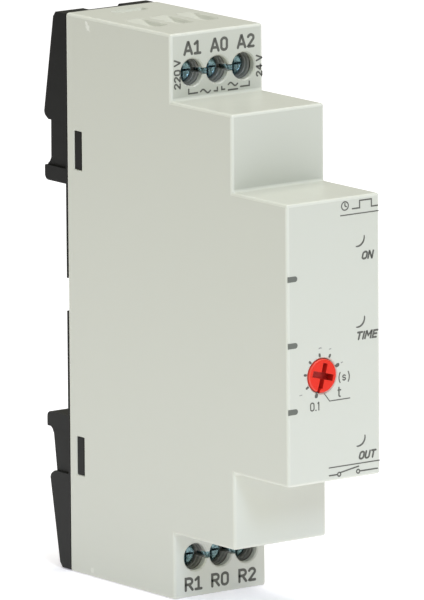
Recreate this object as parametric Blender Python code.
"""DIN rail timer, one module wide, as an assembly of separate pieces.

Frame: the origin is the centre of the rail seat, +X runs across the width, +Y points back
towards the rail, +Z points up. Lengths below are millimetres; new_object() turns them into metres.
"""
import math

import bmesh
import bpy
from mathutils import Vector

MM = 0.001

# ---- driving dimensions ----
WIDTH = 18.0
HEIGHT = 90.0
FRONT_DEPTH = 58.0
SHOULDER_DEPTH = 44.0
TERMINAL_DEPTH = 28.2
FRONT_HEIGHT = 44.4
SHOULDER_HEIGHT = 68.8
CASE_REAR = -0.4
WALL = 1.1
FRONT_WALL = 1.2
EDGE_RADIUS = 0.45
GAP = 0.3

TERMINAL_X = (-4.8, 0.2, 5.2)
TERMINAL_Z = 38.6
SCREW_HOLE_R = 2.15
LINK_SLOT = 0.85
THREAD_PITCH = 0.5

KNOB_X, KNOB_Z = -2.3, -5.3
KNOB_R = 2.65
KNOB_PROUD = 0.2
POINTER_ANGLE = 250.0
SLOT_TILT = -15.0

LAMP_X = 4.6
LAMP_Z = {"on": 15.6, "time": 2.9, "out": -15.9}
LAMP_R = 1.5

RAIL_EDGE_TOP = 17.5
RAIL_EDGE_BOTTOM = -19.9
FOOT_DEPTH = 5.65
FOOT_HALF_WIDTH = 8.9
FOOT_WAIST = 8.35
FOOT_END = 44.8
SLOT_HALF = 3.5
HOOK_HALF = 3.2
HOOK_GAP = 1.3
HOOK_TIP = 15.0

BOARD_X = (5.9, 7.5)
BOARD_FRONT = -51.2
PANEL_Y = (-52.8, -51.6)
SIDES = 24

HALF = WIDTH / 2
TOP = HEIGHT / 2
INSIDE = HALF - WALL

COLOURS = {
    "housing_grey": ((0.60, 0.62, 0.57), 0.42, 0.0),
    "base_black": ((0.022, 0.022, 0.021), 0.38, 0.0),
    "terminal_black": ((0.035, 0.037, 0.040), 0.45, 0.0),
    "plated_steel": ((0.55, 0.62, 0.68), 0.28, 1.0),
    "tinned_brass": ((0.72, 0.66, 0.50), 0.30, 1.0),
    "spring_steel": ((0.62, 0.62, 0.62), 0.30, 1.0),
    "knob_red": ((0.80, 0.045, 0.040), 0.38, 0.0),
    "board_green": ((0.030, 0.160, 0.060), 0.45, 0.0),
    "component_black": ((0.025, 0.025, 0.027), 0.50, 0.0),
    "relay_blue": ((0.030, 0.120, 0.400), 0.40, 0.0),
    "coil_copper": ((0.75, 0.36, 0.20), 0.35, 1.0),
    "magnet_steel": ((0.50, 0.50, 0.50), 0.35, 1.0),
    "film_yellow": ((0.80, 0.62, 0.10), 0.45, 0.0),
    "can_blue": ((0.06, 0.10, 0.30), 0.35, 0.0),
    "varistor_blue": ((0.04, 0.22, 0.50), 0.50, 0.0),
    "resistor_tan": ((0.62, 0.50, 0.34), 0.60, 0.0),
    "trimmer_cream": ((0.80, 0.78, 0.70), 0.50, 0.0),
    "lamp_green": ((0.10, 0.60, 0.16), 0.20, 0.0),
    "lamp_yellow": ((0.85, 0.65, 0.08), 0.20, 0.0),
    "lamp_red": ((0.80, 0.06, 0.05), 0.20, 0.0),
}


# ---- helpers ----
def clear_scene():
    for item in list(bpy.data.objects):
        bpy.data.objects.remove(item, do_unlink=True)


def material(name):
    found = bpy.data.materials.get(name)
    if found:
        return found
    colour, roughness, metallic = COLOURS[name]
    made = bpy.data.materials.new(name)
    made.use_nodes = True
    shader = made.node_tree.nodes["Principled BSDF"]
    shader.inputs["Base Color"].default_value = (*colour, 1.0)
    shader.inputs["Roughness"].default_value = roughness
    shader.inputs["Metallic"].default_value = metallic
    return made


def add_prism(shape, outline, axis, low, high):
    """Extrude a closed outline along an axis; the outline holds the other two coordinates in order."""
    order = {"X": (2, 0, 1), "Y": (0, 2, 1), "Z": (0, 1, 2)}[axis]

    def corner(point, depth):
        values = (point[0], point[1], depth)
        return Vector([values[place] for place in order])

    near = [shape.verts.new(corner(point, low)) for point in outline]
    far = [shape.verts.new(corner(point, high)) for point in outline]
    shape.faces.new(near)
    shape.faces.new(list(reversed(far)))
    for index in range(len(outline)):
        after = (index + 1) % len(outline)
        shape.faces.new((near[after], near[index], far[index], far[after]))


def add_box(shape, low, high):
    outline = [(low[0], low[1]), (high[0], low[1]), (high[0], high[1]), (low[0], high[1])]
    add_prism(shape, outline, "Z", low[2], high[2])


def add_turned(shape, centre, axis, rings, sides=SIDES):
    """Stack of circles (place along the axis, radius), closed by a flat cap at each end."""
    loops = []
    for place, radius in rings:
        loop = []
        for step in range(sides):
            turn = 2 * math.pi * (step + 0.5) / sides
            across, up = radius * math.cos(turn), radius * math.sin(turn)
            point = {"X": (place, centre[0] + across, centre[1] + up),
                     "Y": (centre[0] + across, place, centre[1] + up),
                     "Z": (centre[0] + across, centre[1] + up, place)}[axis]
            loop.append(shape.verts.new(point))
        loops.append(loop)
    for first, second in zip(loops, loops[1:]):
        for step in range(sides):
            after = (step + 1) % sides
            shape.faces.new((first[step], first[after], second[after], second[step]))
    shape.faces.new(list(reversed(loops[0])))
    shape.faces.new(loops[-1])


def add_funnel(shape, mouth, throat):
    """Four-sided funnel between two rectangles, each (low x, low y, high x, high y, z)."""
    loops = []
    for low_x, low_y, high_x, high_y, height in (mouth, throat):
        corners = ((low_x, low_y), (high_x, low_y), (high_x, high_y), (low_x, high_y))
        loops.append([shape.verts.new((x, y, height)) for x, y in corners])
    for step in range(4):
        after = (step + 1) % 4
        shape.faces.new((loops[0][step], loops[0][after], loops[1][after], loops[1][step]))
    shape.faces.new(list(reversed(loops[0])))
    shape.faces.new(loops[1])


def new_object(name, shape, origin=(0, 0, 0)):
    bmesh.ops.recalc_face_normals(shape, faces=shape.faces)
    mesh = bpy.data.meshes.new(name)
    for vertex in shape.verts:
        vertex.co = (vertex.co - Vector(origin)) * MM
    shape.to_mesh(mesh)
    shape.free()
    made = bpy.data.objects.new(name, mesh)
    made.location = Vector(origin) * MM
    bpy.context.scene.collection.objects.link(made)
    return made


def piece(name, shape, slot, origin=(0, 0, 0), smooth=False):
    made = new_object(name, shape, origin)
    made.data.materials.append(material(slot))
    if smooth:
        made.data.shade_smooth()
        made.data.set_sharp_from_angle(angle=math.radians(35))
    return made


def bevel(target, width, segments=2):
    step = target.modifiers.new("edge_bevel", "BEVEL")
    step.width = width * MM
    step.segments = segments
    step.limit_method = "ANGLE"
    step.angle_limit = math.radians(40)


def boolean(target, tool_name, shape, operation="DIFFERENCE"):
    tool = new_object(tool_name, shape)
    tool.hide_render = True
    tool.display_type = "WIRE"
    step = target.modifiers.new(tool_name, "BOOLEAN")
    step.operation = operation
    step.solver = "EXACT"
    step.object = tool


def both_sides(values):
    """A stepped outline's upper half followed by its mirror image below z = 0."""
    return values + [(depth, -height) for depth, height in reversed(values)]


# ---- housing ----
def housing_outline(inset, rear, front_wall):
    """Stepped side view: three levels, each higher one standing further forward."""
    return both_sides([
        (rear, TOP - inset),
        (-TERMINAL_DEPTH + inset, TOP - inset),
        (-TERMINAL_DEPTH + inset, SHOULDER_HEIGHT / 2 - inset),
        (-SHOULDER_DEPTH + inset, SHOULDER_HEIGHT / 2 - inset),
        (-SHOULDER_DEPTH + inset, FRONT_HEIGHT / 2 - inset),
        (-FRONT_DEPTH + front_wall, FRONT_HEIGHT / 2 - inset),
    ])


def screw_openings(shape, front, back):
    for side in (1, -1):
        for x in TERMINAL_X:
            add_turned(shape, (x, side * TERMINAL_Z), "Y", [(front, SCREW_HOLE_R), (back, SCREW_HOLE_R)])


def link_slots(shape, front, back):
    for side in (1, -1):
        low = side * TERMINAL_Z - LINK_SLOT / 2
        add_box(shape, (TERMINAL_X[0], front, low), (TERMINAL_X[-1], back, low + LINK_SLOT))


def wire_funnels(shape):
    mouth_half, throat_half = 2.0, 1.6
    for side in (1, -1):
        surface, inner = side * (TOP + 0.2), side * (TOP - WALL - 0.2)
        for x in TERMINAL_X:
            add_funnel(shape,
                       (x - mouth_half, -20.6, x + mouth_half, -14.9, surface),
                       (x - throat_half, -19.4, x + throat_half, -16.6, inner))


def snap_windows(shape):
    for low, high in ((20.2, 26.4), (-29.0, -22.8)):
        add_box(shape, (-HALF - 1, -4.4, low), (HALF + 1, -2.4, high))


def lamp_pockets(shape):
    for height in LAMP_Z.values():
        add_turned(shape, (LAMP_X, height), "Y",
                   [(-FRONT_DEPTH + 0.5, LAMP_R + 0.15), (-FRONT_DEPTH + FRONT_WALL + 0.5, LAMP_R + 0.15)])


def make_housing():
    outer = bmesh.new()
    add_prism(outer, housing_outline(0, CASE_REAR, 0), "X", -HALF, HALF)
    shell = piece("housing_shell", outer, "housing_grey")
    bevel(shell, EDGE_RADIUS)
    cavity = bmesh.new()
    add_prism(cavity, housing_outline(WALL, CASE_REAR + 1, FRONT_WALL), "X", -INSIDE, INSIDE)
    boolean(shell, "cut_cavity", cavity)
    holes = bmesh.new()
    screw_openings(holes, -TERMINAL_DEPTH - 1, -TERMINAL_DEPTH + WALL + 0.4)
    add_turned(holes, (KNOB_X, KNOB_Z), "Y",
               [(-FRONT_DEPTH - 1, KNOB_R + 0.15), (-FRONT_DEPTH + FRONT_WALL + 0.5, KNOB_R + 0.15)], 32)
    lamp_pockets(holes)
    wire_funnels(holes)
    snap_windows(holes)
    add_box(holes, (TERMINAL_X[1] - 3.5, -4.4, TOP - 0.5), (TERMINAL_X[1] + 3.5, -2.4, TOP + 1))
    boolean(shell, "cut_holes", holes)
    slots = bmesh.new()
    link_slots(slots, -TERMINAL_DEPTH - 1, -TERMINAL_DEPTH + WALL + 0.4)
    boolean(shell, "cut_link_slots", slots)


# ---- rail base, latch and spring ----
LATCH_TRAVEL = 3.0
LATCH_TIP = -15.7
LATCH_FLANGE_Y = (1.3, 2.3)
LATCH_BACK = 4.3
LATCH_SLOT_FLOOR = 1.0
FLANGE_HALF = 4.4
FLANGE_Z = (-36.0, -22.6)
WINDOW_HALF = 1.8
WINDOW_Z = (-33.5, -25.2)
POST_TOP = -32.0
POST_BOTTOM = -33.2


def foot_outline(side, lip, waist_low, waist_high, rear_inner, rear_outer):
    """Side view of a foot: a lip at the rail, a waist, then a wedge that thins towards its end."""
    chamfer = 0.8
    points = [
        (-0.9, side * lip), (FOOT_DEPTH - chamfer, side * lip), (FOOT_DEPTH, side * (lip + chamfer)),
        (FOOT_DEPTH, side * (waist_low - 0.3)), (FOOT_DEPTH - 0.7, side * (waist_low + 0.4)),
        (rear_inner - 1.0, side * waist_high), (rear_inner, side * (waist_high + 1.0)),
        (rear_outer, side * FOOT_END), (-0.9, side * FOOT_END),
    ]
    return points if side > 0 else list(reversed(points))


def make_base():
    plate = bmesh.new()
    add_box(plate, (-FOOT_HALF_WIDTH, -0.2, -FOOT_END), (FOOT_HALF_WIDTH, 0.0, FOOT_END))
    base = piece("rail_base", plate, "base_black")
    plug = bmesh.new()
    plug_half = INSIDE - GAP
    add_box(plug, (-plug_half, -2.0, -FOOT_END + 1.3), (plug_half, -0.1, FOOT_END - 1.3))
    boolean(base, "join_plug", plug, "UNION")
    snaps = bmesh.new()
    for side in (1, -1):
        for low, high in ((20.6, 26.0), (-28.6, -23.2)):
            outline = [(side * (plug_half - 0.5), -0.6), (side * (plug_half - 0.5), -4.1),
                       (side * (HALF - 0.9), -4.1), (side * (HALF - 0.35), -3.4),
                       (side * (HALF - 0.35), -2.75), (side * plug_half, -2.75), (side * plug_half, -0.6)]
            add_prism(snaps, outline, "Z", low, high)
    boolean(base, "join_snaps", snaps, "UNION")
    feet = bmesh.new()
    upper = foot_outline(1, RAIL_EDGE_TOP, 19.9, 27.3, 5.7, 2.9)
    lower = foot_outline(-1, -RAIL_EDGE_BOTTOM, 22.3, 29.4, 5.2, 2.4)
    add_prism(feet, [(max(y, -0.1), z) for y, z in upper], "X", -FOOT_HALF_WIDTH, FOOT_HALF_WIDTH)
    add_prism(feet, [(max(y, -0.1), z) for y, z in lower], "X", -FOOT_HALF_WIDTH, FOOT_HALF_WIDTH)
    boolean(base, "join_feet", feet, "UNION")
    hook = bmesh.new()
    hook_outline = [(HOOK_GAP, HOOK_TIP + 0.5), (2.2, HOOK_TIP), (4.2, HOOK_TIP + 1.0),
                    (4.9, 18.2), (HOOK_GAP, 18.2)]
    add_prism(hook, hook_outline, "X", -HOOK_HALF, HOOK_HALF)
    boolean(base, "join_hook", hook, "UNION")
    recess = bmesh.new()
    for side in (1, -1):
        near, far = sorted((side * FOOT_WAIST, side * (HALF + 1)))
        for low, high in ((19.9, 27.3), (-29.4, -22.3)):
            add_box(recess, (near, 0.0, low), (far, 8.0, high))
    add_box(recess, (-HALF - 1, -0.6, -2.9), (-INSIDE + GAP - 0.1, 0.6, 2.4))
    for low, high in ((HOOK_TIP - 0.6, RAIL_EDGE_TOP), (RAIL_EDGE_BOTTOM, LATCH_TIP + 0.6)):
        add_box(recess, (-SLOT_HALF, -0.5, low), (SLOT_HALF, 0.6, high))
    boolean(base, "cut_recesses", recess)
    slots = bmesh.new()
    add_box(slots, (-SLOT_HALF, 0.8, 30.0), (SLOT_HALF, 9.0, TOP + 1))
    add_box(slots, (-SLOT_HALF, LATCH_SLOT_FLOOR, -TOP - 1), (SLOT_HALF, 9.0, -18.0))
    boolean(base, "cut_slots", slots)
    groove = bmesh.new()
    add_box(groove, (-FLANGE_HALF - 0.3, LATCH_SLOT_FLOOR, FLANGE_Z[0] - LATCH_TRAVEL - 0.3),
            (FLANGE_HALF + 0.3, LATCH_FLANGE_Y[1] + 0.3, FLANGE_Z[1] + 0.3))
    boolean(base, "cut_groove", groove)
    post = bmesh.new()
    add_box(post, (-WINDOW_HALF + 0.4, LATCH_SLOT_FLOOR - 0.5, POST_BOTTOM), (WINDOW_HALF - 0.4, 3.9, POST_TOP))
    boolean(base, "join_spring_post", post, "UNION")


def make_latch():
    body = bmesh.new()
    outline = [(LATCH_FLANGE_Y[0], LATCH_TIP), (2.2, LATCH_TIP), (LATCH_BACK, LATCH_TIP - 2.4),
               (LATCH_BACK, -42.0), (3.0, -44.4), (LATCH_FLANGE_Y[0], -44.4)]
    add_prism(body, outline, "X", -HOOK_HALF, HOOK_HALF)
    latch = piece("rail_latch", body, "base_black", origin=(0, 2.8, -30))
    flange = bmesh.new()
    add_box(flange, (-FLANGE_HALF, LATCH_FLANGE_Y[0], FLANGE_Z[0]), (FLANGE_HALF, LATCH_FLANGE_Y[1], FLANGE_Z[1]))
    boolean(latch, "join_latch_flange", flange, "UNION")
    holes = bmesh.new()
    add_box(holes, (-WINDOW_HALF, 0.5, WINDOW_Z[0]), (WINDOW_HALF, 6.0, WINDOW_Z[1]))
    add_box(holes, (-1.5, 0.5, -42.6), (1.5, 6.0, -41.2))
    boolean(latch, "cut_latch_holes", holes)


def make_spring():
    coil_r, wire_r, turns, per_turn = 1.05, 0.2, 5, 12
    low = POST_TOP + wire_r + 0.08
    high = WINDOW_Z[1] - wire_r - 0.08
    curve = bpy.data.curves.new("latch_spring", "CURVE")
    curve.dimensions = "3D"
    curve.bevel_depth = wire_r * MM
    curve.bevel_resolution = 1
    curve.use_fill_caps = True
    path = curve.splines.new("POLY")
    count = turns * per_turn
    path.points.add(count)
    for step, point in enumerate(path.points):
        turn = 2 * math.pi * step / per_turn
        height = low + (high - low) * step / count
        point.co = (coil_r * math.cos(turn) * MM, (2.75 + coil_r * math.sin(turn)) * MM, height * MM, 1.0)
    spring = bpy.data.objects.new("latch_spring", curve)
    curve.materials.append(material("spring_steel"))
    bpy.context.scene.collection.objects.link(spring)


# ---- terminals ----
BLOCK_Y = (-26.7, -13.0)
BLOCK_Z = (33.6, 43.5)
LEDGE_Y = (-23.0, -22.3)
HEAD_Y = (-25.6, -23.3)
SHANK_END = -18.9
NUT_WALL = (-19.9, -18.8)
BAR_Y = (-18.5, -17.8)
CAGE_BACK = (-14.6, -13.7)
CAGE_HALF = 1.8
CAGE_Z = (36.7, 40.5)
BAR_FEET = {-4.8: 28.8, 0.2: 30.2, 5.2: 31.6}


def make_terminal_block(name, side):
    body = bmesh.new()
    low, high = sorted((side * BLOCK_Z[0], side * BLOCK_Z[1]))
    add_box(body, (-INSIDE + GAP, BLOCK_Y[0], low), (INSIDE - GAP, BLOCK_Y[1], high))
    block = piece(name, body, "terminal_black")
    tubes = bmesh.new()
    rooms = bmesh.new()
    for x in TERMINAL_X:
        centre = (x, side * TERMINAL_Z)
        add_turned(tubes, centre, "Y", [(BLOCK_Y[0] - 1, SCREW_HOLE_R), (LEDGE_Y[0], SCREW_HOLE_R)])
        room_low, room_high = sorted((side * 36.3, side * 40.9))
        add_box(rooms, (x - 2.1, LEDGE_Y[1], room_low), (x + 2.1, BLOCK_Y[1] - 0.4, room_high))
    boolean(block, "cut_tubes_" + name, tubes)
    boolean(block, "cut_rooms_" + name, rooms)
    passages = bmesh.new()
    for x in TERMINAL_X:
        add_turned(passages, (x, side * TERMINAL_Z), "Y", [(LEDGE_Y[0] - 0.5, 1.5), (LEDGE_Y[1] + 0.5, 1.5)])
        wire_low, wire_high = sorted((side * 40.0, side * 46.0))
        add_box(passages, (x - 1.6, -17.6, wire_low), (x + 1.6, -14.8, wire_high))
        bar_low, bar_high = sorted((side * 32.0, side * 37.0))
        add_box(passages, (x - 1.5, BAR_Y[0] - 0.3, bar_low), (x + 1.5, BAR_Y[1] + 0.1, bar_high))
    boolean(block, "cut_passages_" + name, passages)
    slots = bmesh.new()
    low = side * TERMINAL_Z - LINK_SLOT / 2
    add_box(slots, (TERMINAL_X[0], BLOCK_Y[0] - 1, low), (TERMINAL_X[-1], -24.9, low + LINK_SLOT))
    boolean(block, "cut_slots_" + name, slots)


def make_terminal_screw(name, x, z):
    body = bmesh.new()
    rings = [(HEAD_Y[0], 1.75), (HEAD_Y[0] + 0.15, 1.9), (HEAD_Y[1], 1.9), (HEAD_Y[1], 1.2),
             (SHANK_END - 0.2, 1.2), (SHANK_END, 1.0)]
    add_turned(body, (x, z), "Y", rings, 20)
    screw = piece(name, body, "plated_steel", origin=(x, HEAD_Y[0], z), smooth=True)
    slots = bmesh.new()
    add_box(slots, (x - 1.4, HEAD_Y[0] - 1, z - 0.22), (x + 1.4, HEAD_Y[0] + 0.7, z + 0.22))
    boolean(screw, "cut_slot_" + name, slots)
    cross = bmesh.new()
    add_box(cross, (x - 0.22, HEAD_Y[0] - 1, z - 1.4), (x + 0.22, HEAD_Y[0] + 0.7, z + 1.4))
    boolean(screw, "cut_cross_" + name, cross)


def make_clamp_cage(name, x, side):
    body = bmesh.new()
    low, high = sorted((side * CAGE_Z[0], side * CAGE_Z[1]))
    add_box(body, (x - CAGE_HALF, NUT_WALL[0], low), (x + CAGE_HALF, CAGE_BACK[1], high))
    cage = piece(name, body, "plated_steel", origin=(x, NUT_WALL[0], side * TERMINAL_Z))
    holes = bmesh.new()
    add_box(holes, (x - 1.4, NUT_WALL[1], low - 1), (x + 1.4, CAGE_BACK[0], high + 1))
    boolean(cage, "cut_way_" + name, holes)
    thread = bmesh.new()
    add_turned(thread, (x, side * TERMINAL_Z), "Y", [(NUT_WALL[0] - 1, 1.3), (NUT_WALL[1] + 0.5, 1.3)], 20)
    boolean(cage, "cut_thread_" + name, thread)


def make_contact_bar(name, x, side):
    """Flat tinned bar: through the cage, out of the block, then across to the board."""
    foot = BAR_FEET[x]
    board_side = BOARD_X[0] - GAP
    right = min(x + 1.1, board_side)
    outline = [(x - 1.1, side * foot), (board_side, side * foot), (board_side, side * (foot + 1.0)),
               (right, side * (foot + 1.0)), (right, side * 40.6), (x - 1.1, side * 40.6)]
    if right == board_side:
        outline = [outline[0], outline[1], (right, side * 40.6), outline[5]]
    body = bmesh.new()
    add_prism(body, outline, "Y", *BAR_Y)
    piece(name, body, "tinned_brass")


def make_terminals():
    make_terminal_block("upper_terminal_block", 1)
    make_terminal_block("lower_terminal_block", -1)
    for row, side in (("upper", 1), ("lower", -1)):
        for number, x in enumerate(TERMINAL_X, 1):
            make_terminal_screw(f"{row}_screw_{number}", x, side * TERMINAL_Z)
            make_clamp_cage(f"{row}_cage_{number}", x, side)
            make_contact_bar(f"{row}_contact_bar_{number}", x, side)


# ---- time setting ----
def make_knob():
    body = bmesh.new()
    face = -FRONT_DEPTH - KNOB_PROUD
    rings = [(face, KNOB_R - 0.2), (face + 0.2, KNOB_R), (-56.2, KNOB_R), (-56.2, 1.0), (-54.4, 1.0)]
    add_turned(body, (KNOB_X, KNOB_Z), "Y", rings, 32)
    knob = piece("time_knob", body, "knob_red", origin=(KNOB_X, face, KNOB_Z), smooth=True)
    for name, angle, reach, half, depth in (
            ("long", SLOT_TILT, (-2.0, 2.0), 0.5, 1.4),
            ("cross", SLOT_TILT + 90, (-2.0, 2.0), 0.5, 1.4),
            ("pointer", POINTER_ANGLE, (0.6, 3.1), 0.3, 0.9)):
        slot = bmesh.new()
        along = Vector((math.cos(math.radians(angle)), math.sin(math.radians(angle))))
        across = Vector((-along.y, along.x)) * half
        middle = Vector((KNOB_X, KNOB_Z))
        start, end = middle + along * reach[0], middle + along * reach[1]
        add_prism(slot, [start - across, end - across, end + across, start + across], "Y", face - 1, face + depth)
        boolean(knob, "cut_knob_" + name, slot)


def make_trimmer():
    body = bmesh.new()
    add_box(body, (KNOB_X - 3.0, -55.2, KNOB_Z - 3.2), (KNOB_X + 3.0, PANEL_Y[0] - GAP, KNOB_Z + 3.2))
    trimmer = piece("trimmer_body", body, "trimmer_cream")
    hole = bmesh.new()
    add_turned(hole, (KNOB_X, KNOB_Z), "Y", [(-56.0, 1.95), (-53.7, 1.95)])
    boolean(trimmer, "cut_trimmer_hole", hole)
    rotor = bmesh.new()
    add_turned(rotor, (KNOB_X, KNOB_Z), "Y", [(-55.5, 1.8), (-54.0, 1.8)])
    wheel = piece("trimmer_rotor", rotor, "plated_steel", origin=(KNOB_X, -55.5, KNOB_Z))
    socket = bmesh.new()
    add_turned(socket, (KNOB_X, KNOB_Z), "Y", [(-56.5, 1.3), (-54.2, 1.3)])
    boolean(wheel, "cut_rotor_socket", socket)


# ---- electronics ----
def make_boards():
    main = bmesh.new()
    outline = both_sides([(-4.8, 33.0), (-42.0, 33.0), (-42.0, 20.5), (BOARD_FRONT, 20.5)])
    add_prism(main, outline, "X", *BOARD_X)
    piece("main_board", main, "board_green")
    panel = bmesh.new()
    add_box(panel, (-7.2, PANEL_Y[0], -20.3), (7.2, PANEL_Y[1], 20.3))
    piece("display_board", panel, "board_green")
    header = bmesh.new()
    add_box(header, (3.2, -51.3, -8.0), (5.6, -48.8, 8.0))
    piece("pin_header", header, "component_black")


def make_lamps():
    colours = {"on": "lamp_green", "time": "lamp_yellow", "out": "lamp_red"}
    start = PANEL_Y[0] - GAP
    for name, height in LAMP_Z.items():
        body = bmesh.new()
        rings = [(-56.7, 0.5), (-56.5, 1.1), (-56.0, 1.45), (-55.4, LAMP_R), (start, LAMP_R)]
        add_turned(body, (LAMP_X, height), "Y", rings, 16)
        piece("lamp_" + name, body, colours[name], smooth=True)


RELAY_LOW = (-7.3, -20.5, -27.4)
RELAY_HIGH = (4.0, -4.8, -6.0)
ARMATURE_HINGE = (-14.4, -11.4)


def make_relay():
    foot = bmesh.new()
    add_box(foot, (4.3, RELAY_LOW[1], RELAY_LOW[2]), (5.6, RELAY_HIGH[1], RELAY_HIGH[2]))
    piece("relay_base", foot, "component_black")
    lid = bmesh.new()
    add_box(lid, RELAY_LOW, RELAY_HIGH)
    cover = piece("relay_cover", lid, "relay_blue")
    room = bmesh.new()
    skin = 0.6
    add_box(room, [value + skin for value in RELAY_LOW],
            (RELAY_HIGH[0] + 1, RELAY_HIGH[1] - skin, RELAY_HIGH[2] - skin))
    boolean(cover, "cut_relay_room", room)
    coil = bmesh.new()
    rings = [(-24.7, 3.9), (-24.0, 3.9), (-24.0, 3.4), (-14.1, 3.4), (-14.1, 3.9), (-13.4, 3.9), (-13.4, 1.5), (-12.9, 1.5)]
    add_turned(coil, (-1.2, -9.7), "Z", rings, 20)
    piece("relay_coil", coil, "coil_copper", smooth=True)
    yoke = bmesh.new()
    outline = [(-5.9, -26.2), (-5.9, -25.1), (-13.9, -25.1), (-13.9, -12.0), (-14.8, -12.0), (-14.8, -26.2)]
    add_prism(yoke, outline, "X", -4.4, 2.0)
    piece("relay_yoke", yoke, "magnet_steel")
    plate = bmesh.new()
    add_prism(plate, [(-14.9, -11.5), (-6.4, -11.5), (-6.4, -10.7), (-14.9, -10.7)], "X", -4.4, 2.0)
    piece("relay_armature", plate, "magnet_steel", origin=(-1.2, *ARMATURE_HINGE))
    leaf = bmesh.new()
    outline = [(-15.9, -22.4), (-15.5, -22.4), (-15.5, -10.9), (-15.2, -10.9), (-15.2, -10.5), (-15.9, -10.5)]
    add_prism(leaf, outline, "X", -2.6, 0.2)
    piece("contact_leaf", leaf, "tinned_brass", origin=(-1.2, *ARMATURE_HINGE))
    resting = bmesh.new()
    add_box(resting, (-2.2, -15.2, -22.2), (3.7, -15.0, -19.9))
    piece("resting_contact", resting, "tinned_brass")
    working = bmesh.new()
    add_box(working, (-2.2, -18.4, -22.2), (3.7, -17.2, -19.9))
    piece("working_contact", working, "tinned_brass")


def make_components():
    film = bmesh.new()
    add_box(film, (-4.6, -20.6, 7.0), (5.6, -7.0, 25.0))
    bevel(piece("supply_capacitor", film, "film_yellow"), 0.6)
    can = bmesh.new()
    add_turned(can, (-35.5, 26.2), "X", [(-7.0, 5.0), (-6.6, 5.4), (3.6, 5.4), (4.0, 5.1), (4.4, 5.4), (5.2, 5.4), (5.5, 5.1)], 20)
    piece("smoothing_capacitor", can, "can_blue", smooth=True)
    disc = bmesh.new()
    add_turned(disc, (-27.0, 15.0), "X", [(2.0, 3.0), (2.6, 3.6), (5.0, 3.6), (5.6, 3.0)], 20)
    piece("varistor", disc, "varistor_blue", smooth=True)
    bridge = bmesh.new()
    add_box(bridge, (3.0, -32.0, -3.0), (5.6, -25.0, 5.0))
    piece("bridge_rectifier", bridge, "component_black")
    chip = bmesh.new()
    add_box(chip, (4.1, -45.0, -12.0), (5.6, -38.5, -3.0))
    piece("timer_chip", chip, "component_black")
    resistor = bmesh.new()
    rings = [(-23.0, 0.4), (-21.0, 0.4), (-20.8, 1.6), (-11.2, 1.6), (-11.0, 0.4), (-9.0, 0.4)]
    add_turned(resistor, (3.7, -27.0), "Z", rings, 16)
    piece("fuse_resistor", resistor, "resistor_tan", smooth=True)


def main():
    clear_scene()
    make_housing()
    make_base()
    make_latch()
    make_spring()
    make_terminals()
    make_knob()
    make_trimmer()
    make_boards()
    make_lamps()
    make_relay()
    make_components()


main()
